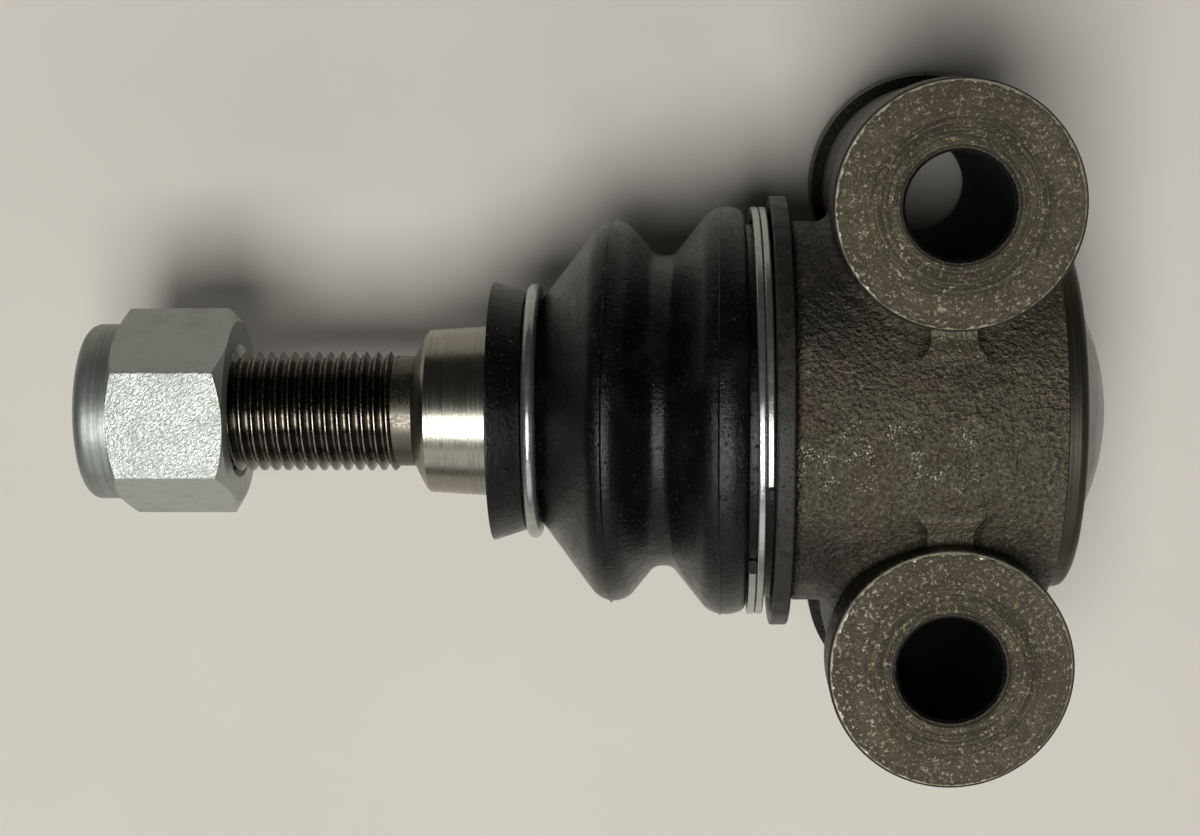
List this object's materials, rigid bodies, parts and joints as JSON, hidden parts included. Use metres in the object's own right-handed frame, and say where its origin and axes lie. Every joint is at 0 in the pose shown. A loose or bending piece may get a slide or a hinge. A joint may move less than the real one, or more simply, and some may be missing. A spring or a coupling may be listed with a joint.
{
  "type": "suspension ball joint",
  "caption": "Suspension ball joint: two-lug forged housing with a swinging, spinning tapered stud, rubber boot, retaining rings and lock nut.",
  "frame": {"origin": "on the stud axis, midway between the two lug bolt holes", "axes": "+X along the stud axis from the nut towards the end cap, +Z along the lug bolt holes, +Y from one lug towards the other"},
  "size_m": [0.1061, 0.0692, 0.0448],
  "materials": {
    "forged_steel": "forged, oiled, with machined lug faces and bores",
    "stud_steel": "ground taper and ball, dark oiled thread",
    "zinc_plate": "bright zinc plate",
    "spring_steel": "zinc plated spring steel",
    "seat_nylon": "moulded glass-filled nylon",
    "insert_nylon": "moulded nylon",
    "boot_rubber": "satin moulded chloroprene rubber"
  },
  "bodies": {
    "housing_body": {"housing": "forged_steel", "front_seat": "seat_nylon", "rear_seat": "seat_nylon", "preload_spring": "spring_steel", "end_cap": "zinc_plate", "large_retaining_ring": "spring_steel"},
    "boot_body": {"boot": "boot_rubber"},
    "tilt_body": {"small_retaining_ring": "spring_steel"},
    "stud_body": {"ball_stud": "stud_steel"},
    "nut_carrier": {"nylon_insert": "insert_nylon"},
    "nut_body": {"lock_nut": "zinc_plate"}
  },
  "joints": [
    {"name": "swing_side", "type": "hinge", "parent": "housing_body", "child": "boot_body", "pos_m": [-0.003, 0, 0], "axis": [0, 0, 1], "range_deg": [-14, 14], "deforming": ["boot"]},
    {"name": "swing_lift", "type": "hinge", "parent": "boot_body", "child": "tilt_body", "pos_m": [-0.003, 0, 0], "axis": [0, 1, 0], "range_deg": [-14, 14]},
    {"name": "stud_spin", "type": "hinge", "parent": "tilt_body", "child": "stud_body", "pos_m": [-0.003, 0, 0], "axis": [1, 0, 0], "continuous": true},
    {"name": "nut_travel", "type": "slide", "parent": "stud_body", "child": "nut_carrier", "axis": [1, 0, 0], "range_m": [-0.01016, 0.01524]},
    {"name": "nut_turn", "type": "hinge", "parent": "nut_carrier", "child": "nut_body", "pos_m": [-0.08, 0, 0], "axis": [1, 0, 0], "range_deg": [-2880, 4320]}
  ],
  "couplings": [
    {"joint": "nut_travel", "follows": "nut_turn", "m_per_rad": 0.00020213}
  ]
}
